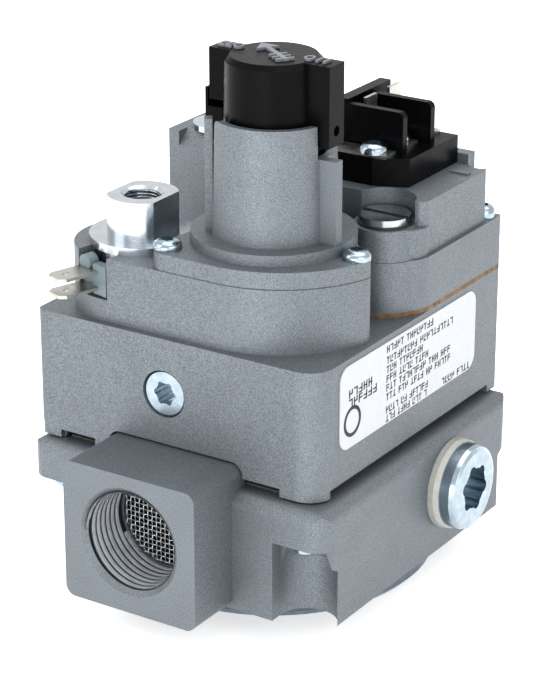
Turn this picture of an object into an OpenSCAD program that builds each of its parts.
// Combination gas valve for a heating appliance.
// Origin at the centre of the inlet mouth, +Y along the gas flow, +Z up, millimetres.

/* [Ports] */
// Distance between the inlet face and the outlet face
port_span = 121.2; // [118:0.1:126]
// Wall radius of each pipe port, 3/4 inch taper thread
port_r = 12.2; // [11.6:0.1:12.6]
// Depth of the threaded wall in each port
port_depth = 13.5; // [10:0.5:14]
// Width of each square port boss
boss_w = 36.4; // [35:0.2:37]

/* [Body] */
// Width of the upper casting
body_w = 78; // [77:0.5:80]
// Length of the upper casting along the flow
body_len = 83.8; // [82:0.1:85]
// Height of the joint between base and upper casting
seam_z = 11.5; // [11:0.1:12]
// Height of the upper casting's top face
ledge_z = 43; // [42:0.5:44]
// Upright corner radius of the upper casting
body_r = 6; // [4:0.5:8]
// Upright corner radius on the side away from the label
back_corner_r = 2; // [1.5:0.5:6]

/* [Base] */
// Distance from the flow axis to the base casting's plug side
base_right = 42.9; // [42:0.1:43.5]
// Distance from the flow axis to the base casting's other side
base_left = 39.9; // [39.5:0.1:41]
// Length of the base casting without its port bosses
base_len = 88; // [87:0.1:92]
// Height of the underside of the base casting
base_z = -18.3; // [-20:0.1:-18]
// Outer radius of the round bottom cover
pan_r = 39.4; // [38:0.1:39.8]
// Depth of the round bottom cover
pan_h = 7.4; // [6:0.1:8]

/* [Control deck] */
// Height of the raised deck's top face
deck_z = 58.5; // [58:0.1:59]
// Thickness of the cover plate
plate_t = 4.2; // [3:0.1:5]
// Height of the shroud's front rim
rim_z = 92.6; // [90:0.1:93]
// Height of the shroud's low rear rim
notch_z = 85; // [84:0.1:85.2]

/* [Knob] */
// Radius of the knob's drum
knob_r = 11.2; // [10.5:0.1:11.4]
// Height of the knob's top face
knob_z = 106.5; // [104:0.5:110]
// Reach of each grip wing from the knob's axis
wing_reach = 16.5; // [15:0.1:17]
// Thickness of each grip wing
wing_t = 6.2; // [5:0.1:6.4]

/* [Operator] */
// Height of the solenoid housing's top face
oper_z = 69.6; // [68:0.1:71]
// Height of the terminal block's floor above the solenoid housing
term_h = 6.8; // [6:0.1:8]
// Height of the barriers above the terminal block's floor
barrier_h = 10; // [8:0.5:12]

/* [Hidden] */
$fn = 64;
eps = 0.02;
big = 300;

mid_y = port_span / 2;
body_y0 = mid_y - body_len / 2;
body_y1 = mid_y + body_len / 2;
base_y0 = 15.2;
base_y1 = base_y0 + base_len;
plate_z = deck_z + plate_t;
rear_corner_r = 1;
// Wall left around the hollow of the upper casting, and its ceiling
wall = 6.3;
ceiling_z = 39;
partition_y = 48;
partition_t = 2;
gasket_t = 0.5;

// Base details
boss_top = 16.5;
boss_under = 2;
boss_gap = 0.5;
boss_bottom = -17.9;
boss_corner_r = 2.6;
chamfer = 1.2;
edge_r = 3.5;
gap_h = 2;
gap_deep = 4;
gap_left = [-32.8, -22.8];
gap_right = [17.4, 28.8];
side_gap = [24, 97.6];
ear_z = 1.5;
ear_in = 29.1;
ear_back = 3.6;
pocket_x = 36.2;
pocket_r = 7.1;
pocket_slope = 6;
left_foot_x = 35;
left_foot_in = 18;
screw_x = 34;
screw_in = 6.4;
screw_head_r = 2.6;
screen_t = 0.8;
screen_r = 11.5;
gallery_r = 9.4;
gallery_end = 36;
riser_w = 16;
riser_y = 22;
valve_pit_r = 17;
valve_pit_z = 1;
seat_r = 9;
seat_ring_r = 11;
passage_z0 = -12;
passage_z1 = -4;
passage_w = 18;
dia_pit_r = 34;
dia_pit_z = -14.5;
stem_r = 2.5;
fit = 0.05;

// Main valve
valve_disc_r = 12.5;
valve_disc_z = 2.6;
valve_disc_t = 3;
dia_plate_r = 26;
dia_t = 0.6;
spring_seat_z = 22;

// Plugs
tap_x = -2.8;
tap_z = 29.4;
tap_r = 5.75;
plug_y = 73;
plug_z = -2.3;
plug_head_r = 10.5;
plug_ring_r = 11.2;
plug_ring_t = 1.3;
plug_head_t = 4.1;
plug_shank_r = 8;
plug_shank_l = 9;

// Label
label_y0 = 27.5;
label_y1 = 90;
label_z0 = 21.3;
label_z1 = 41.5;
label_t = 0.25;
label_r = 3.5;

// Control deck
deck_front = 20.6;
deck_back = 64;
deck_lobe = [-21.1, 36.2];
lobe_x = -20.5;
lobe_y = 36.5;
lobe_r = 15.6;
bow_x = 10.1;
bow_r = 28.2;
bow_y = deck_front + bow_r;
plate_left = -8.2;
plate_corner_r = 4;
knob_x = 11.5;
knob_y = 43.2;
ring_r = 19.2;
ring_h = 2.7;
shroud_r0 = 14.9;
shroud_r1 = 14.2;
shroud_in = 12.6;
shroud_from = 233;
slot_from = 210;
fin_ang = 213;
fin_in = 13.9;
fin_out = 15.7;
fin_z = 91.7;
shroud_end = 3.6;
rib_t = 2.6;
rib_right = 18.5;
hub_r = 6;
hub_z = 68;
plate_screws = [[-5.4, 24.9], [34.2, 42.2], [-4.4, 60.4]];
corner = plate_screws[1];
corner_r = 3.2;
neck = [13.2, 64];

// Gas cock and knob
cock_pit_r = 12.5;
cock_floor = 43;
cock_r = 12.2;
cock_t = 3;
cock_hub_r = 5.6;
cock_hub_z = 56;
port_off = 9;
cock_port_r = 2.6;
stem_big_r = 3;
stem_tip_r = 1.5;
stem_flat = 2.2;
stem_low = 37.2;
stem_top = 99;
knob_low = 79;
knob_wall = 1.9;
knob_roof = 3;
knob_hub_r = 5.2;
knob_hub_z = 82;
left_wing_z = 94.4;
stop_z = 92.6;
stop_low = 89.4;
stop_back_z = 97;
stop_x0 = 16.6;
stop_side = 15.9;
left_reach = 15.5;
stop_x1 = 11.9;
stop_foot = 15;
mark_h = 0.6;
right_wing_z = 87.7;
fillet_r = 1.2;
spring_gap = 0.15;

// Safety valve and power unit
chamber_r = 10;
seat_hole_r = 6;
seat_top = 41;
unit_thread_r = 11.6;
unit_bore_r = 11.7;
unit_low = 51.5;
flange_r = 12.7;
flange_t = 2;
unit_top = 70;
unit_boss_r = 8.45;
unit_flat = 6.7;
unit_hole_r = 4.3;
unit_hole_l = 12;
magnet_low = 51.2;
armature_top = 49.5;
safety_disc_r = 7.5;
lever_z = 36.8;
lever_t = 2;
lever_w = 5;
lever_over = 2.4;
cross_z = 48.5;
cross_r = 2.4;
lever_dx = knob_x - lobe_x;
lever_dy = knob_y - lobe_y;
lever_len = norm([lever_dx, lever_dy]);
lever_ang = atan2(lever_dy, lever_dx);
pin_r = 1.2;
pin_z = lever_z - lever_t - 1.4;

// Limit switch terminals
slot_ang = -103;
slot_w = 9.8;
slot_z = 48.3;
blade_ang = 252;
insul_in = 12.4;
insul_top = 56;
blade_w = 6.35;
blade_t = 0.8;
blade_l = 12.4;
blade_root = [-25.2, 24.5];
blade_z = [49.8, 53.8];

// Pilot tower
pilot_x0 = -36.7;
pilot_x1 = -17.7;
pilot_y0 = 69.8;
pilot_y1 = 86;
pilot_z = 74;
pilot_edge = 0.8;
pilot_slope_x = -33.3;
pilot_slope_z = 70.3;
pilot_slope_y = 73.4;
pilot_cap_r = 6.2;
pilot_bore_r = 4;
pilot_out_r = 4.4;
pilot_out_z = 56;

// Operator
oper_x0 = -14;
oper_y0 = 66;
oper_step_z = 56.5;
head_x0 = -11;
head_x1 = 38;
head_y0 = 66.2;
head_y1 = 97;
head_r = 2;
bar = [[31.5, 89], [36.5, 90.6]];
bar_h = 0.5;
lug = [[23, 97.1], [32.2, 100.4]];
lug_z = 72;
gas_t = 1.2;
reg_x = 28.2;
reg_y = 64.8;
reg_r = 9;
reg_top_r = 7.5;
reg_top = 63.6;
reg_corner = [32.3, 66.9];
reg_corner_r = 6.6;
reg_corner_in = 0.7;
reg_bore_r = 5.6;
reg_cap_r = 6.05;
reg_pocket_r = 7.3;
reg_floor = 46;
seat_low = 53.1;
coil_x = 3;
coil_y = 83;
coil_pit_r = 12.8;
coil_r = 12.4;
coil_low = 46.5;
coil_top = 64;
core_r = 6;
plunger_r = 4;
oper_screws = [[35.4, 99], [-10.4, 98.6], [-10.4, 69.6]];

// Terminal block
term_x0 = 7.4;
term_x1 = 29.3;
term_y0 = 70.3;
term_y1 = 97;
term_z = oper_z + 0.1;
term_floor = term_z + term_h;
term_cut = 8;
barrier_t = 1.9;
barrier_y = [77.2, 88.2];
barrier_x1 = [26, 27.2];
barrier_r = 1.5;
lug_tab_h = 10.8;
front_plate_x = 10;
plate_lip = 2.2;
strip_w = 3;
bay_y = [72.5, 82.7, 93.6];
term_screw_x = 20.4;
tab_x = 13.2;

module at_knob() { translate([knob_x, knob_y, 0]) children(); }
module at_lobe() { translate([lobe_x, lobe_y, 0]) children(); }
module at_mid() { translate([0, mid_y, 0]) children(); }
module at_reg() { translate([reg_x, reg_y, 0]) children(); }
module at_coil() { translate([coil_x, coil_y, 0]) children(); }

// An upright cylinder between two heights
module post(r, z0, z1) { translate([0, 0, z0]) cylinder(r = r, h = z1 - z0); }

// A cylinder lying along +Y from y0 to y1
module along_y(r, y0, y1) { translate([0, y0, 0]) rotate([-90, 0, 0]) cylinder(r = r, h = y1 - y0); }

// A cylinder lying along +X from x0 to x1
module along_x(r, x0, x1) { translate([x0, 0, 0]) rotate([0, 90, 0]) cylinder(r = r, h = x1 - x0); }

// A box between two corners
module block(a, b) { translate(a) cube(b - a); }

// A flat outline with round corners, between two corners
module round_rect(a, b, r) {
    translate([a.x + r, a.y]) square([b.x - a.x - 2 * r, b.y - a.y]);
    translate([a.x, a.y + r]) square([b.x - a.x, b.y - a.y - 2 * r]);
    for (x = [a.x + r, b.x - r], y = [a.y + r, b.y - r]) translate([x, y]) circle(r = r);
}

module slab(a, b, r, z0, z1) { translate([0, 0, z0]) linear_extrude(z1 - z0) round_rect(a, b, r); }

// Points of one ring of a helical spring's wire
function coil_ring(k, n, r, w, z0, z1, turns, sides) = [
    for (s = [0:sides - 1]) let (
        t = k / n, a = 360 * turns * t, b = 360 * s / sides, q = r + w * cos(b)
    ) [q * cos(a), q * sin(a), z0 + w + (z1 - z0 - 2 * w) * t + w * sin(b)]
];

// A helical spring of wire radius w and mean radius r, one closed mesh
module coil_spring(r, w, z0, z1, turns) {
    sides = 6;
    n = turns * 12;
    points = [for (k = [0:n]) each coil_ring(k, n, r, w, z0, z1, turns, sides)];
    walls = [for (k = [0:n - 1], s = [0:sides - 1]) let (s2 = (s + 1) % sides)
        [k * sides + s, (k + 1) * sides + s, (k + 1) * sides + s2, k * sides + s2]];
    start = [for (s = [0:sides - 1]) s];
    finish = [for (s = [sides - 1:-1:0]) n * sides + s];
    polyhedron(points = points, faces = concat(walls, [start, finish]), convexity = 8);
}

// Six-lobe driver socket, cut downwards from z = 0
module lobe_socket(r, deep) {
    translate([0, 0, -deep]) union() {
        cylinder(r = r * 0.84, h = deep + 1);
        for (k = [0:5]) rotate([0, 0, 60 * k]) translate([r * 0.74, 0, 0])
            cylinder(r = r * 0.26, h = deep + 1, $fn = 24);
    }
}

// Pan head screw: the head's seat is z = 0 and the shank points down
module pan_screw(head_r, head_h, shank_r, shank_l, socket_r) {
    difference() {
        union() {
            rotate_extrude() polygon(concat([[0, head_h], [0, 0], [head_r, 0]],
                [for (a = [0:12:72]) [head_r * (0.4 + 0.6 * cos(a)), head_h * (0.3 + 0.7 * sin(a))]],
                [[head_r * 0.4, head_h]]));
            post(shank_r, -shank_l, eps);
        }
        translate([0, 0, head_h]) lobe_socket(socket_r, head_h * 0.6);
    }
}

// ---- castings ----

// A block whose upper edges are rounded with radius r
module soft_block(a, b, corner, r, z0, z1) intersection() {
    slab(a, b, corner, z0, z1);
    translate([0, b.y + 1, 0]) rotate([90, 0, 0]) linear_extrude(b.y - a.y + 2)
        arch([a.x, z0], [b.x, z1], r);
    translate([a.x - 1, 0, 0]) rotate([90, 0, 90]) linear_extrude(b.x - a.x + 2)
        arch([a.y, z0], [b.y, z1], r);
}

// A flat outline with round upper corners
module arch(a, b, r) {
    translate([a.x, a.y]) square([b.x - a.x, b.y - a.y - r]);
    translate([a.x + r, a.y]) square([b.x - a.x - 2 * r, b.y - a.y]);
    for (x = [a.x + r, b.x - r]) translate([x, b.y - r]) circle(r = r);
}

module boss_block(y0, y1, grow = 0) {
    translate([0, y1, 0]) rotate([90, 0, 0]) linear_extrude(y1 - y0) round_rect(
        [-boss_w / 2 - grow, boss_bottom - grow], [boss_w / 2 + grow, boss_top + grow],
        boss_corner_r + grow);
}

// Threaded port and its mouth chamfer, opening towards -Y from y = 0
module port_bore() {
    along_y(port_r, -1, port_depth + screen_t);
    along_y(screen_r + 0.1, port_depth, port_depth + 2 * screen_t + 0.2);
    translate([0, -eps, 0]) rotate([-90, 0, 0]) cylinder(r1 = port_r + chamfer, r2 = port_r, h = chamfer);
}

module mirror_flow() {
    children();
    translate([0, port_span, 0]) mirror([0, 1, 0]) children();
}

module mirror_base() {
    children();
    translate([0, base_y0 + base_y1, 0]) mirror([0, 1, 0]) children();
}

module base_casting() color("#8b8f94") difference() {
    union() {
        soft_block([-base_left, base_y0], [base_right, base_y1], 5, edge_r, base_z, seam_z - gasket_t);
        boss_block(0, body_y0 + boss_under);
        boss_block(port_span - body_y0 - boss_under, port_span);
    }
    // corner notches that leave the screw ears
    for (sx = [-1, 1]) mirror_base() {
        block([sx > 0 ? ear_in : -big, -big, base_z - 1],
            [sx > 0 ? big : -ear_in, base_y0 + ear_back, ear_z]);
        translate([sx * pocket_x, base_y0 + ear_back, 0]) {
            post(pocket_r, base_z - 1, ear_z - pocket_slope);
            translate([0, 0, ear_z - pocket_slope - eps])
                cylinder(r1 = pocket_r, r2 = pocket_r - 2.5, h = pocket_slope + eps);
        }
        translate([sx * screw_x, base_y0 + screw_in, 0])
            post(screw_head_r + 0.35, ear_z - 4.5, ear_z);
        translate([sx * screw_x, base_y0 + screw_in, 0]) post(2.3, ear_z - 1, seam_z + 1);
    }
    mirror_base() block([-big, -big, base_z - 1], [-left_foot_x, base_y0 + left_foot_in, ear_z]);
    mirror_flow() port_bore();
    // inlet gallery and its way up
    along_y(gallery_r, port_depth, gallery_end);
    block([-riser_w / 2, riser_y, 0], [riser_w / 2, gallery_end, seam_z + 1]);
    // main valve pit, seat hole and outlet passage
    at_mid() post(valve_pit_r, valve_pit_z, seam_z + 1);
    at_mid() post(seat_ring_r, valve_pit_z - 2, valve_pit_z + 1);
    at_mid() post(seat_r, passage_z1 - 1, valve_pit_z + 1);
    block([-passage_w / 2, mid_y - seat_r, passage_z0],
        [passage_w / 2, port_span - port_depth, passage_z1]);
    along_y(gallery_r, port_span - gallery_end + 14, port_span - port_depth);
    at_mid() post(stem_r + fit, base_z, passage_z0 + 1);
    at_mid() post(dia_pit_r, base_z - 1, dia_pit_z);
    // side plug hole into the passage
    translate([0, plug_y, plug_z]) {
        along_x(plug_shank_r + fit, base_right - plug_shank_l - 1, base_right + 1);
        along_x(3, passage_w / 2 - 1, base_right - plug_shank_l);
    }
}

module deck_outline() {
    difference() {
        union() {
            translate(deck_lobe) circle(r = lobe_r);
            // the bow ends at the right-hand screw and runs back along a straight edge
            intersection() {
                translate([bow_x, bow_y]) circle(r = bow_r);
                polygon([[-bow_r, deck_front], [big, deck_front],
                    2 * corner - [bow_x, bow_y], corner,
                    corner + corner_r * [cos(50), sin(50)], neck, [-bow_r, deck_back]]);
            }
            translate(corner) circle(r = corner_r);
            translate([knob_x, knob_y]) circle(r = ring_r);
            translate([deck_lobe.x, deck_front]) square([bow_x - deck_lobe.x, deck_lobe.y + 8 - deck_front]);
        }
        translate([reg_x, reg_y]) circle(r = reg_r + 0.8);
    }
}

module plate_outline() {
    difference() {
        intersection() {
            deck_outline();
            translate([plate_left, deck_front - 1]) square([big, big]);
        }
        translate([lobe_x, lobe_y]) circle(r = flange_r + 0.1);
        translate([plate_left, deck_front]) difference() {
            square(2 * plate_corner_r, center = true);
            translate([plate_corner_r, plate_corner_r]) circle(r = plate_corner_r);
        }
    }
}

module lever_ears() at_lobe() rotate([0, 0, lever_ang]) translate([lever_len / 2, 0, 0])
    for (sy = [-1, 1]) translate([-3, sy * (lever_w / 2 + 1.7) - 1.4, pin_z - 3])
        cube([6, 2.8, ceiling_z + eps - pin_z + 3]);

module at_pin() at_lobe() rotate([0, 0, lever_ang]) translate([lever_len / 2, 0, pin_z]) children();

module main_body() color("#8f9398") difference() {
    union() {
        main_body_shell();
        lever_ears();
    }
    at_pin() along_y(pin_r + 0.01, -lever_w / 2 - 3.1, lever_w / 2 + 3.1);
}

module main_body_shell() difference() {
    union() {
        slab([-body_w / 2, body_y0], [0, body_y1], back_corner_r, seam_z, ledge_z);
        slab([-body_w / 4, body_y0], [body_w / 2, body_y1], body_r, seam_z, ledge_z);
        slab([0, mid_y], [body_w / 2, body_y1], rear_corner_r, seam_z, ledge_z);
        translate([0, 0, ledge_z - eps]) linear_extrude(deck_z - ledge_z + eps) deck_outline();
        pilot_tower();
    }
    // inlet chamber and valve chamber, open below
    block([-body_w / 2 + wall, body_y0 + wall, seam_z - 1],
        [body_w / 2 - wall, partition_y, ceiling_z]);
    block([-body_w / 2 + wall, partition_y + partition_t, seam_z - 1],
        [body_w / 2 - wall, body_y1 - wall, ceiling_z]);
    // arches over the port bosses, and shadow gaps along the joint
    mirror_flow() boss_block(-1, body_y0 + boss_under + boss_gap, boss_gap);
    mirror_flow() for (g = [gap_left, gap_right])
        block([g.x, 0, seam_z - 1], [g.y, body_y0 + gap_deep, seam_z + gap_h]);
    for (sx = [-1, 1]) block(
        [sx > 0 ? body_w / 2 - gap_deep : -big, side_gap.x, seam_z - 1],
        [sx > 0 ? big : gap_deep - body_w / 2, side_gap.y, seam_z + gap_h]);
    foot_bevel();
    for (sx = [-1, 1]) mirror_base() translate([sx * screw_x, base_y0 + screw_in, 0])
        post(1.9, seam_z - 1, seam_z + 12);
    // pressure taps at both ends
    mirror_flow() translate([tap_x, 0, tap_z]) along_y(tap_r + fit, body_y0 - 1, body_y0 + 5);
    mirror_flow() translate([tap_x, 0, tap_z]) along_y(2, body_y0, body_y0 + wall + 1);
    // gas cock pit with its floor port and stem hole
    at_knob() {
        post(cock_pit_r, cock_floor, deck_z + 1);
        post(stem_big_r + 0.3, ceiling_z - 1, cock_floor + 1);
        translate([0, port_off, 0]) post(cock_port_r, ceiling_z - 1, cock_floor + 1);
    }
    // safety valve chamber and the passage to the cock
    at_lobe() {
        post(unit_bore_r, unit_low - 0.2, deck_z + 1);
        post(chamber_r, seat_top, deck_z);
        post(seat_hole_r, ceiling_z - 1, seat_top + 1);
        rotate([0, 0, lever_ang]) translate([0, 0, cross_z]) along_x(cross_r, 0, lever_len);
    }
    translate(deck_lobe) rotate([0, 0, slot_ang])
        block([0, -slot_w / 2, slot_z], [lobe_r + 2, slot_w / 2, deck_z + 1]);
    // pilot gas bore, cap seat and outlet
    translate([(pilot_x0 + pilot_x1) / 2, (pilot_y0 + pilot_y1) / 2, 0]) {
        post(pilot_bore_r, ceiling_z - 1, pilot_z + 1);
        translate([0, 0, pilot_out_z]) along_y(pilot_out_r, -0.6, 12);
    }
    for (p = plate_screws) translate(p) post(1.5, deck_z - 9, deck_z + 1);
    for (p = oper_screws) translate(p) post(1.5, ceiling_z - 1, ledge_z + 1);
    at_coil() post(2, ceiling_z - 1, ledge_z + 1);
    at_reg() post(2, ceiling_z - 1, ledge_z + 1);
}

// The foot of the upper casting leans in on the side away from the label
module foot_bevel() translate([0, big, 0]) rotate([90, 0, 0]) linear_extrude(2 * big)
    polygon([[-big, seam_z - 1], [1.1 - body_w / 2, seam_z - 1], [1.1 - body_w / 2, seam_z + 2.5],
        [-body_w / 2, seam_z + 6], [-big, seam_z + 6]]);

module pilot_tower() difference() {
    slab([pilot_x0, pilot_y0], [pilot_x1, pilot_y1], pilot_edge, ledge_z - eps, pilot_z);
    // sloping upper edge in front of the cap
    translate([pilot_slope_x, 0, 0]) rotate([90, 0, 90]) linear_extrude(big)
        polygon([[pilot_y0 - 1, pilot_slope_z - 1], [pilot_slope_y, pilot_z], [pilot_slope_y, big],
            [pilot_y0 - 1, big]]);
}

module body_gasket() color("#3c3f3e") difference() {
    slab([-body_w / 2 + 2.6, body_y0 + 2.6], [body_w / 2 - 2.6, body_y1 - 2.6], 3,
        seam_z - gasket_t, seam_z);
    block([-body_w / 2 + wall, body_y0 + wall, 0], [body_w / 2 - wall, partition_y, big]);
    block([-body_w / 2 + wall, partition_y + partition_t, 0],
        [body_w / 2 - wall, body_y1 - wall, big]);
    mirror_flow() block([-boss_w / 2 - boss_gap, 0, 0],
        [boss_w / 2 + boss_gap, body_y0 + boss_under + boss_gap, big]);
    for (sx = [-1, 1]) mirror_base() translate([sx * screw_x, base_y0 + screw_in, 0])
        post(2.3, 0, big);
}

// ---- inlet and main valve ----

module inlet_screen() color("#b9bcbe")
    along_y(screen_r, port_depth + screen_t + 0.1, port_depth + 2 * screen_t + 0.1);

module outlet_seat_ring() color("#b98f4a") at_mid() difference() {
    post(seat_ring_r - fit, valve_pit_z - 2, valve_disc_z - 0.1);
    post(seat_r, -5, 5);
    difference() {
        post(seat_ring_r, valve_pit_z + 0.2, 5);
        post(seat_r + 0.9, 0, 6);
    }
}

module bottom_cover() color("#59636b") at_mid() difference() {
    rotate_extrude() difference() {
        polygon([[0, base_z - pan_h], [pan_r - 2, base_z - pan_h], [pan_r, base_z - pan_h + 2],
            [pan_r, base_z], [0, base_z]]);
        polygon([[0, base_z - pan_h + 1.5], [pan_r - 3, base_z - pan_h + 1.5],
            [pan_r - 3, base_z + 1], [0, base_z + 1]]);
    }
    post(1.2, base_z - pan_h - 1, base_z);
}

module main_diaphragm() color("#22201e") at_mid() difference() {
    post(pan_r - 3.3, base_z - dia_t, base_z);
    post(stem_r + 0.6, base_z - 1, base_z + 1);
}

module diaphragm_plate() color("#b4b7ba") at_mid() difference() {
    post(dia_plate_r, base_z + 0.1, base_z + 0.9);
    post(stem_r + 0.01, base_z - 1, base_z + 2);
}

module main_valve_disc() color("#2a2a2c") at_mid() difference() {
    post(valve_disc_r, valve_disc_z, valve_disc_z + valve_disc_t);
    post(stem_r + 0.01, valve_disc_z - 1, valve_disc_z + valve_disc_t + 1);
}

module main_valve_stem() color("#c4c7ca") at_mid() union() {
    post(stem_r, base_z - dia_t - 0.6, valve_disc_z + valve_disc_t + 3);
    post(stem_r + 0.5, base_z - dia_t - 1.6, base_z - dia_t - 0.1);
}

module main_valve_spring() color("#a9adb1") at_mid()
    coil_spring(7, 0.6, valve_disc_z + valve_disc_t + 0.1, ceiling_z - 0.1, 7);

// ---- fasteners, plugs and label ----

module base_screws() color("#b9c6cc") for (sx = [-1, 1]) mirror_base()
    translate([sx * screw_x, base_y0 + screw_in, ear_z]) rotate([180, 0, 0]) difference() {
        union() {
            post(screw_head_r, 0, 3);
            translate([0, 0, 3 - eps]) cylinder(r1 = screw_head_r, r2 = screw_head_r - 0.6, h = 0.6);
            post(1.85, -16, eps);
        }
        translate([0, 0, 3.6]) lobe_socket(1.7, 1.8);
    }

module tap_plug() translate([tap_x, body_y0 + 0.5, tap_z]) rotate([90, 0, 0]) difference() {
    union() {
        post(tap_r, -4.4, -0.5);
        translate([0, 0, -0.5]) cylinder(r1 = tap_r, r2 = tap_r - 0.5, h = 0.5);
    }
    lobe_socket(3, 3);
}

module inlet_tap_plug() color("#b4c0c6") tap_plug();

module outlet_tap_plug() color("#b4c0c6") translate([0, port_span, 0]) mirror([0, 1, 0]) tap_plug();

module side_ring(k) translate([base_right + k * plug_ring_t, plug_y, plug_z]) difference() {
    along_x(plug_ring_r - 0.3 * k, 0, plug_ring_t);
    along_x(plug_shank_r + 0.4, -1, plug_ring_t + 1);
}

module side_plug_seal() color("#8e9384") side_ring(0);

module side_plug_washer() color("#c2c1b2") side_ring(1);

module side_plug() color("#a9b9c1") translate([base_right + 2 * plug_ring_t, plug_y, plug_z])
    rotate([0, 90, 0]) difference() {
        union() {
            rotate_extrude() polygon([[0, 0], [plug_head_r, 0], [plug_head_r, plug_head_t - 1.4],
                [plug_head_r - 0.4, plug_head_t - 0.4], [plug_head_r - 1.4, plug_head_t],
                [0, plug_head_t]]);
            post(plug_shank_r, -plug_shank_l, eps);
        }
        translate([0, 0, plug_head_t]) rotate([0, 0, 15]) lobe_socket(6, 5);
    }

module rating_label() color("#e9eaec") translate([body_w / 2, 0, 0]) rotate([90, 0, 90])
    linear_extrude(label_t) round_rect([label_y0, label_z0], [label_y1, label_z1], label_r);

// ---- cover plate with shroud, cock and knob ----

module shroud() at_knob() {
    difference() {
        union() {
            post(ring_r, plate_z - eps, plate_z + ring_h);
            translate([0, 0, plate_z]) cylinder(r1 = shroud_r0, r2 = shroud_r1, h = rim_z - plate_z);
            // rib under the right wing
            block([shroud_in, -shroud_end + 0.4, plate_z],
                [rib_right, -shroud_end + 0.4 + rib_t, notch_z]);
        }
        post(shroud_in, plate_z + ring_h, rim_z + 1);
        // behind the wings only the low rear wall is left
        block([-shroud_r0 - 0.2, -shroud_end, notch_z], [ring_r, big, rim_z + 1]);
        translate([0, 8, 0]) block([-5, 0, plate_z + 6], [5, 12, notch_z + 1]);
        // slot between the front wall and the fin, and the front wall's round corner
        translate([0, 0, plate_z + ring_h]) linear_extrude(big) polygon([[0, 0],
            ring_r * [cos(slot_from), sin(slot_from)], ring_r * [cos(shroud_from), sin(shroud_from)]]);
        translate([0, 0, notch_z]) linear_extrude(big) polygon([[0, 0], [-ring_r, 0],
            ring_r * [cos(slot_from), sin(slot_from)]]);
        rotate([0, 0, shroud_from]) difference() {
            block([0, -1, rim_z - 1.5], [ring_r, 1.5, rim_z + 1]);
            translate([0, 1.5, rim_z - 1.5]) along_x(1.5, -1, ring_r + 1);
        }
    }
    rotate([0, 0, fin_ang]) block([fin_in, -1.4, plate_z + ring_h - eps], [fin_out, 1.4, fin_z]);
}

module cover_plate() color("#9a9ea3") difference() {
    union() {
        translate([0, 0, deck_z + 0.3]) linear_extrude(plate_t - 0.3) plate_outline();
        shroud();
        at_knob() post(hub_r, plate_z, hub_z);
    }
    at_knob() post(stem_big_r + fit, deck_z - 1, hub_z + 1);
    at_knob() post(stem_big_r + 1.6, deck_z - 1, deck_z + 2.3);
    for (p = plate_screws) translate(p) post(1.9, deck_z - 1, plate_z + 1);
}

module cover_gasket() color("#4a4d4c") difference() {
    translate([0, 0, deck_z]) linear_extrude(0.3) plate_outline();
    at_knob() post(cock_pit_r, 0, big);
    at_lobe() post(unit_bore_r + 1, 0, big);
    for (p = plate_screws) translate(p) post(1.9, 0, big);
}

module cover_screws() color("#b7c4ca") for (p = plate_screws) translate([p.x, p.y, plate_z])
    pan_screw(3.35, 2.2, 1.45, 11, 1.5);

module cock_rotor() color("#b7b08c") at_knob() difference() {
    union() {
        post(cock_r, cock_floor + 0.1, cock_floor + 0.1 + cock_t);
        post(cock_hub_r, cock_floor + 0.1, cock_hub_z);
    }
    difference() {
        post(stem_big_r + fit, 0, big);
        block([-5, stem_flat + fit, 0], [5, 5, big]);
    }
    rotate([0, 0, -90]) translate([0, port_off, 0]) post(cock_port_r, 0, big);
}

module knob_stem() color("#c6c9cc") at_knob() union() {
    difference() {
        post(stem_big_r, cock_floor - 1, stem_top);
        block([-5, stem_flat, 0], [5, 5, deck_z - 1]);
        block([-5, stem_flat, 82], [5, 5, big]);
    }
    post(stem_tip_r, stem_low, cock_floor);
}

module stem_seal() color("#1d1d1f") at_knob() rotate_extrude()
    translate([stem_big_r + 0.8, deck_z + 1.4]) circle(r = 0.72, $fn = 24);

module knob_spring() color("#a9adb1") at_knob()
    coil_spring(5, 0.5, hub_z + spring_gap, knob_hub_z - spring_gap, 6);

module knob_wings() {
    // right wing reaches down into the shroud's notch
    difference() {
        block([0, -wing_t / 2, right_wing_z], [wing_reach, wing_t / 2, knob_z]);
        translate([0, 0, 91.2]) along_x(1.2, wing_reach - 1, wing_reach + 1);
    }
    block([-left_reach, -wing_t / 2, left_wing_z], [0, wing_t / 2, knob_z]);
}

// A raised ring on the knob's top face
module ring_mark(x) translate([x, 0, 0]) difference() {
    scale([0.8, 1, 1]) cylinder(r = 1.5, h = mark_h, $fn = 32);
    scale([0.8, 1, 1]) translate([0, 0, -1]) cylinder(r = 0.9, h = 3, $fn = 32);
}

module knob_marks() color("#4d545a") at_knob() translate([0, 0, knob_z]) {
    // arrow pointing at the set position
    rotate([0, 0, 145]) {
        translate([-7, -0.6, 0]) cube([11, 1.2, mark_h]);
        linear_extrude(mark_h) polygon([[7.6, 0], [3.6, 2.8], [3.6, -2.8]]);
        for (x = [-6.6, -4.6, -2.6]) translate([x, -2.2, 0]) cube([0.7, 4.4, mark_h]);
    }
    // on and off marks on the wings
    for (x = [9.4, -9.4]) ring_mark(x);
    for (x = [12, 13.9]) translate([x - 0.3, -1.5, 0]) cube([0.6, 3, mark_h]);
    for (x = [-13.9, -12]) translate([x - 0.3, -1.5, 0]) cube([0.6, 3, mark_h]);
    for (x = [-13.6, -11.7], y = [-1.5, 0]) translate([x, y, 0]) cube([1.1, 0.55, mark_h]);
}

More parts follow.
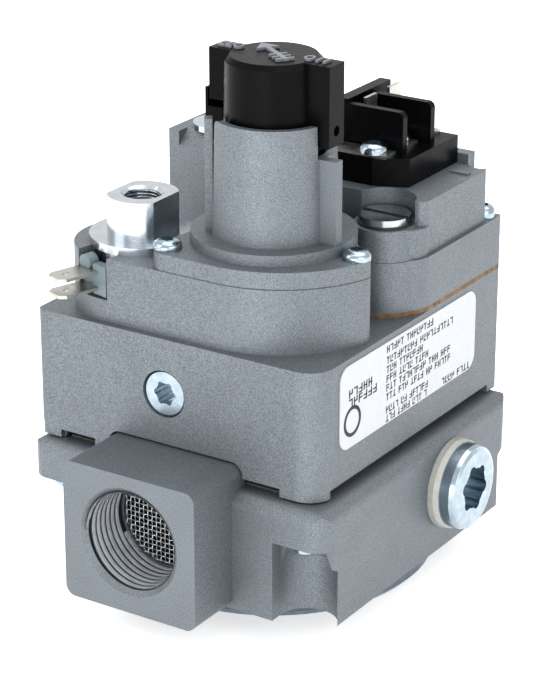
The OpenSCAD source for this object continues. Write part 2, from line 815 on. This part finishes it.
// Rest under the left wing that stops the knob at the end of its turn
module knob_stop() color("#17181a") at_knob() union() {
    block([-stop_x0, -wing_t / 2, stop_low], [-stop_x1, wing_t / 2 + 0.3 + eps, stop_z]);
    block([-stop_x0, wing_t / 2 + 0.3, stop_low], [-stop_x1, wing_t / 2 + 1.5, stop_back_z]);
    block([-stop_x0, -wing_t / 2, stop_z - eps], [-stop_side, wing_t / 2 + 1.5, stop_back_z]);
    block([-stop_x0, -1, plate_z + ring_h], [-stop_foot, wing_t / 2 + 1.5, stop_low + eps]);
}

module knob() color("#1b1c1f") at_knob() difference() {
    union() {
        rotate_extrude() polygon([[0, knob_low], [knob_r + 0.5, knob_low], [knob_r, knob_z - fillet_r],
            [knob_r - fillet_r, knob_z], [0, knob_z]]);
        knob_wings();
    }
    difference() {
        post(knob_r - knob_wall, knob_low - 1, knob_z - knob_roof);
        post(knob_hub_r, knob_hub_z, knob_z);
    }
    difference() {
        post(stem_big_r + 0.01, knob_low - 1, stem_top + 0.2);
        block([-5, stem_flat + 0.01, knob_hub_z], [5, 5, big]);
    }
}

// ---- power unit, safety valve and lever ----

module power_unit_housing() color("#c8ccd0") at_lobe() difference() {
    union() {
        post(unit_thread_r, unit_low, deck_z + eps);
        post(flange_r, deck_z, deck_z + flange_t);
        post(unit_boss_r, deck_z + flange_t - eps, unit_top);
    }
    for (sx = [-1, 1]) block([sx > 0 ? unit_flat : -big, -big, deck_z + flange_t],
        [sx > 0 ? big : -unit_flat, big, big]);
    post(unit_thread_r - 1.6, unit_low - 1, deck_z - 1.5);
    post(unit_hole_r, unit_top - unit_hole_l, unit_top + 1);
    translate([0, 0, unit_top - 0.8]) cylinder(r1 = unit_hole_r, r2 = unit_hole_r + 0.82, h = 0.82);
}

module power_unit_magnet() color("#8c8f92") at_lobe() union() {
    post(6, deck_z - 2.2, deck_z - 1.52);
    for (x = [-3, 3]) translate([x, 0, 0]) post(1.8, magnet_low, deck_z - 2);
}

module power_unit_coil() color("#a5622f") at_lobe() for (x = [-3, 3]) translate([x, 0, 0])
    difference() {
        post(2.9, magnet_low + 0.3, deck_z - 2.3);
        post(1.85, 0, big);
    }

module safety_valve_stem() color("#c6c9cc") at_lobe() union() {
    post(1.4, stem_low, armature_top - 1);
    post(5.4, armature_top - 1.6, armature_top);
}

module safety_valve_disc() color("#242426") at_lobe() difference() {
    post(safety_disc_r, seat_top + 0.1, seat_top + 2.6);
    post(1.42, 0, big);
}

module safety_valve_spring() color("#a9adb1") at_lobe()
    coil_spring(6.8, 0.5, seat_top + 2.7, deck_z - 1.7, 5);

module reset_lever() color("#a7abae") at_lobe() rotate([0, 0, lever_ang]) difference() {
    union() {
        block([-lever_over, -lever_w / 2, lever_z - lever_t], [lever_len + lever_over, lever_w / 2, lever_z]);
        translate([lever_len / 2, 0, pin_z]) along_y(2.4, -lever_w / 2, lever_w / 2);
    }
    translate([lever_len / 2, 0, pin_z]) along_y(pin_r + fit, -lever_w, lever_w);
}

module lever_pin() color("#c6c9cc") at_pin() along_y(pin_r, -lever_w / 2 - 3, lever_w / 2 + 3);

module limit_terminals() color("#c3c4bd") for (z = blade_z) translate([blade_root.x, blade_root.y, z])
    rotate([0, 0, blade_ang]) difference() {
        linear_extrude(blade_t) union() {
            translate([0, -blade_w / 2]) square([blade_l - 1.5, blade_w]);
            translate([blade_l - 1.5, 0]) polygon([[0, -blade_w / 2], [1.5, -blade_w / 2 + 1.2],
                [1.5, blade_w / 2 - 1.2], [0, blade_w / 2]]);
        }
        translate([blade_l - 3.6, 0, -1]) cylinder(r = 0.8, h = 4, $fn = 24);
    }

module limit_insulator() color("#9fb0b3") difference() {
    translate(deck_lobe) rotate([0, 0, slot_ang]) union() {
        block([insul_in, -0.2, slot_z + 0.4], [lobe_r - 0.9, slot_w / 2 - 0.6, insul_top]);
        block([insul_in, -slot_w / 2 + 0.2, slot_z + 0.4], [lobe_r - 1.8, 0, blade_z[1] + 1.2]);
        translate([0, -2.6, blade_z[1] + 2]) along_x(1.9, insul_in, lobe_r - 0.6);
    }
    for (z = blade_z) translate([blade_root.x, blade_root.y, z - 0.04]) rotate([0, 0, blade_ang])
        translate([-0.04, -blade_w / 2 - 0.04, 0]) cube([blade_l, blade_w + 0.08, blade_t + 0.08]);
}

// ---- pilot tower ----

module at_pilot() translate([(pilot_x0 + pilot_x1) / 2, (pilot_y0 + pilot_y1) / 2, 0]) children();

module pilot_cap() color("#d3d6d8") at_pilot() difference() {
    union() {
        post(pilot_cap_r, pilot_z, pilot_z + 1.4);
        post(pilot_bore_r - fit, pilot_z - 5, pilot_z + eps);
    }
    block([-0.7, -4.6, pilot_z + 0.5], [0.7, 4.6, pilot_z + 2]);
}

module pilot_needle() color("#b98f4a") at_pilot() union() {
    post(pilot_bore_r - fit, pilot_z - 12, pilot_z - 8);
    post(1.2, pilot_z - 13.3, pilot_z - 11);
}

// ---- operator ----

module oper_outline() {
    round_rect([oper_x0, oper_y0], [body_w / 2, body_y1], rear_corner_r);
    translate([reg_x, reg_y]) circle(r = reg_r);
    translate(reg_corner) circle(r = reg_corner_r);
    translate(reg_corner) square([body_w / 2 - reg_corner.x, 10]);
}

module operator_housing() color("#8d9196") difference() {
    union() {
        translate([0, 0, ledge_z + gas_t]) linear_extrude(oper_step_z - ledge_z - gas_t) oper_outline();
        slab([head_x0, head_y0], [head_x1, head_y1], head_r, oper_step_z - eps, oper_z);
        at_reg() translate([0, 0, oper_step_z - eps])
            cylinder(r1 = reg_r - 0.3, r2 = reg_top_r, h = reg_top - oper_step_z + eps);
        translate(reg_corner) post(reg_corner_r - reg_corner_in, oper_step_z - eps, reg_top);
        block([lug[0].x, lug[0].y - 1, oper_step_z - eps], [lug[1].x, lug[1].y, oper_z]);
        block([lug[0].x, lug[0].y, oper_z - eps], [lug[1].x, lug[1].y, lug_z]);
        block([bar[0].x, bar[0].y, oper_z - eps], [bar[1].x, bar[1].y, oper_z + bar_h]);
    }
    at_reg() post(reg_pocket_r, reg_top, oper_z + 1);
    at_reg() post(reg_bore_r, reg_floor, reg_top + 1);
    at_reg() post(7, ledge_z, reg_floor + eps);
    at_coil() post(coil_pit_r, ledge_z, coil_top + 1.2);
    for (p = oper_screws) translate(p) {
        post(1.9, ledge_z, oper_step_z + 1);
        post(3.5, oper_step_z, lug_z + 1);
    }
}

module operator_gasket() color("#8a6a3f") difference() {
    translate([0, 0, ledge_z]) linear_extrude(gas_t) oper_outline();
    at_coil() post(coil_r - 3, 0, big);
    at_reg() post(5.5, 0, big);
    for (p = oper_screws) translate(p) post(1.9, 0, big);
}

module operator_screws() color("#b7c4ca") for (p = oper_screws) translate([p.x, p.y, oper_step_z])
    pan_screw(3.2, 3, 1.45, 16, 1.6);

module solenoid_coil() color("#8c4a26") at_coil() difference() {
    post(coil_r, coil_low, coil_top);
    post(core_r + 0.1, 0, big);
}

module solenoid_core() color("#9da1a4") at_coil() difference() {
    union() {
        post(core_r, ledge_z + gas_t + 0.1, coil_top + 1);
        post(coil_r - 2.6, ledge_z + gas_t + 0.1, coil_low);
    }
    post(plunger_r + fit, ledge_z, coil_low + 11);
}

module solenoid_plunger() color("#c0c4c7") at_coil() difference() {
    post(plunger_r, ledge_z + 0.1, coil_low + 8.2);
    post(1.8, coil_low + 3, big);
}

module plunger_spring() color("#a9adb1") at_coil() coil_spring(1.2, 0.25, coil_low + 3.1, coil_low + 10.9, 6);

module regulator_cap() color("#7f8789") at_reg() difference() {
    union() {
        post(reg_cap_r, reg_top + 0.6, reg_top + 2.2);
        post(reg_bore_r - fit, reg_top - 3, reg_top + 1);
    }
    block([-reg_cap_r, -0.8, reg_top + 1.1], [reg_cap_r, 0.8, reg_top + 3]);
}

module regulator_cap_seal() color("#1d1d1f") at_reg() difference() {
    post(reg_cap_r + 0.35, reg_top + 0.02, reg_top + 0.58);
    post(reg_bore_r + 0.02, 0, big);
}

module regulator_screw() color("#d9dadc") at_reg() difference() {
    post(reg_bore_r - fit, reg_top - 8.6, reg_top - 5.2);
    block([-4, -0.6, reg_top - 6.4], [4, 0.6, big]);
}

module regulator_seat() color("#b98f4a") at_reg() post(reg_bore_r - 0.3, seat_low, reg_top - 8.7);

module regulator_spring() color("#a9adb1") at_reg()
    coil_spring(3.8, 0.45, reg_floor - 0.6, seat_low - 0.05, 4);

module regulator_diaphragm() color("#22201e") at_reg() post(6.8, ledge_z + gas_t + 0.1, reg_floor - 0.7);

// ---- terminal block ----

module terminal_block() color("#1a1b1e") difference() {
    union() {
        translate([0, 0, term_z]) linear_extrude(term_h) polygon([[term_x0, term_y0],
            [term_x1 - term_cut, term_y0], [term_x1, term_y0 + 3.6], [term_x1, term_y1],
            [term_x0, term_y1]]);
        for (k = [0, 1]) translate([0, barrier_y[k] + barrier_t / 2, 0]) rotate([90, 0, 0])
            linear_extrude(barrier_t) difference() {
                translate([term_x0, term_floor - eps])
                    square([barrier_x1[k] - term_x0, barrier_h + eps]);
                translate([barrier_x1[k], term_floor + barrier_h]) difference() {
                    square(2 * barrier_r, center = true);
                    translate([-barrier_r, -barrier_r]) circle(r = barrier_r);
                }
            }
        block([term_x0, barrier_y[0], term_floor - eps],
            [term_x0 + strip_w, term_y1, term_floor + barrier_h + 0.8]);
    }
    for (y = bay_y) translate([term_screw_x, y, 0]) post(1.9, term_z + 1, big);
    for (k = [1, 2]) block([tab_x - 0.45, bay_y[k] - 2.6, term_z + 2],
        [tab_x + 0.45, bay_y[k] + 2.6, big]);
}

module terminal_plates() color("#b9b79f") for (k = [0:2]) translate([0, bay_y[k], 0])
    difference() {
        block([k == 0 ? front_plate_x : tab_x + 1.2, k == 0 ? -plate_lip : -3.1, term_floor],
            [term_screw_x + 4.2, 3.1, term_floor + 0.8]);
        translate([term_screw_x, 0, 0]) post(1.9, 0, big);
    }

module terminal_screws() color("#b7c4ca") for (y = bay_y) translate([term_screw_x, y, term_floor + 0.8])
    pan_screw(3.35, 2.3, 1.8, 5.5, 1.7);

module terminal_tabs() color("#c3c4bd") for (k = [1, 2])
    block([tab_x - 0.4, bay_y[k] - 2.5, term_z + 2.1],
        [tab_x + 0.4, bay_y[k] + 2.5, term_floor + lug_tab_h]);

base_casting();
main_body();
body_gasket();
inlet_screen();
outlet_seat_ring();
bottom_cover();
main_diaphragm();
diaphragm_plate();
main_valve_disc();
main_valve_stem();
main_valve_spring();
base_screws();
inlet_tap_plug();
outlet_tap_plug();
side_plug();
side_plug_washer();
side_plug_seal();
rating_label();
cover_plate();
cover_gasket();
cover_screws();
cock_rotor();
knob_stem();
stem_seal();
knob_spring();
knob();
knob_marks();
knob_stop();
power_unit_housing();
power_unit_magnet();
power_unit_coil();
safety_valve_stem();
safety_valve_disc();
safety_valve_spring();
reset_lever();
lever_pin();
limit_terminals();
limit_insulator();
pilot_cap();
pilot_needle();
operator_housing();
operator_gasket();
operator_screws();
solenoid_coil();
solenoid_core();
solenoid_plunger();
plunger_spring();
regulator_cap();
regulator_cap_seal();
regulator_screw();
regulator_seat();
regulator_spring();
regulator_diaphragm();
terminal_block();
terminal_plates();
terminal_screws();
terminal_tabs();
